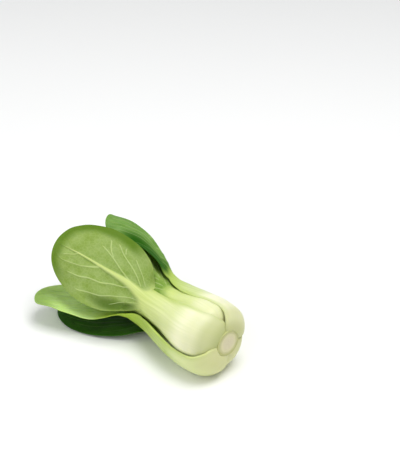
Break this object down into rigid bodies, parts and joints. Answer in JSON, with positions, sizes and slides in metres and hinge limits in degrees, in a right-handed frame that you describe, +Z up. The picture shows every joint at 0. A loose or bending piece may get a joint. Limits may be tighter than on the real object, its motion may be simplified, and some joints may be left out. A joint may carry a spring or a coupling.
{
  "type": "bok choy",
  "caption": "Small head of bok choy lying on its side: pale bulb of overlapping leaf stalks with a round cut foot, and spreading rounded green blades with pale midribs.",
  "frame": {"origin": "centre of the lying head's bounding box, at the height of the surface that it lies on", "axes": "+X from the leaf tips to the cut foot, along the head; -Y toward the front of the head as it lies; +Z up from the surface"},
  "size_m": [0.1658, 0.1, 0.0707],
  "materials": {
    "leaf_stalk": "smooth waxy pale green leaf stalk",
    "leaf_blade": "satin green leaf blade",
    "cut_stem": "dull cream cut of the stem"
  },
  "bodies": {
    "root": {"stem_plate": "cut_stem", "outer_leaf_top_back_stalk": "leaf_stalk", "outer_leaf_top_back_blade": "leaf_blade", "outer_leaf_front_low_stalk": "leaf_stalk", "outer_leaf_front_low_blade": "leaf_blade", "outer_leaf_front_top_stalk": "leaf_stalk", "outer_leaf_front_top_blade": "leaf_blade", "outer_leaf_underside_stalk": "leaf_stalk", "outer_leaf_underside_blade": "leaf_blade", "inner_leaf_top_stalk": "leaf_stalk", "inner_leaf_top_blade": "leaf_blade", "inner_leaf_front_stalk": "leaf_stalk", "inner_leaf_front_blade": "leaf_blade", "inner_leaf_back_stalk": "leaf_stalk", "inner_leaf_back_blade": "leaf_blade", "heart_leaf_large_stalk": "leaf_stalk", "heart_leaf_large_blade": "leaf_blade", "heart_leaf_middle_stalk": "leaf_stalk", "heart_leaf_middle_blade": "leaf_blade", "heart_leaf_small_stalk": "leaf_stalk", "heart_leaf_small_blade": "leaf_blade"}
  },
  "joints": []
}
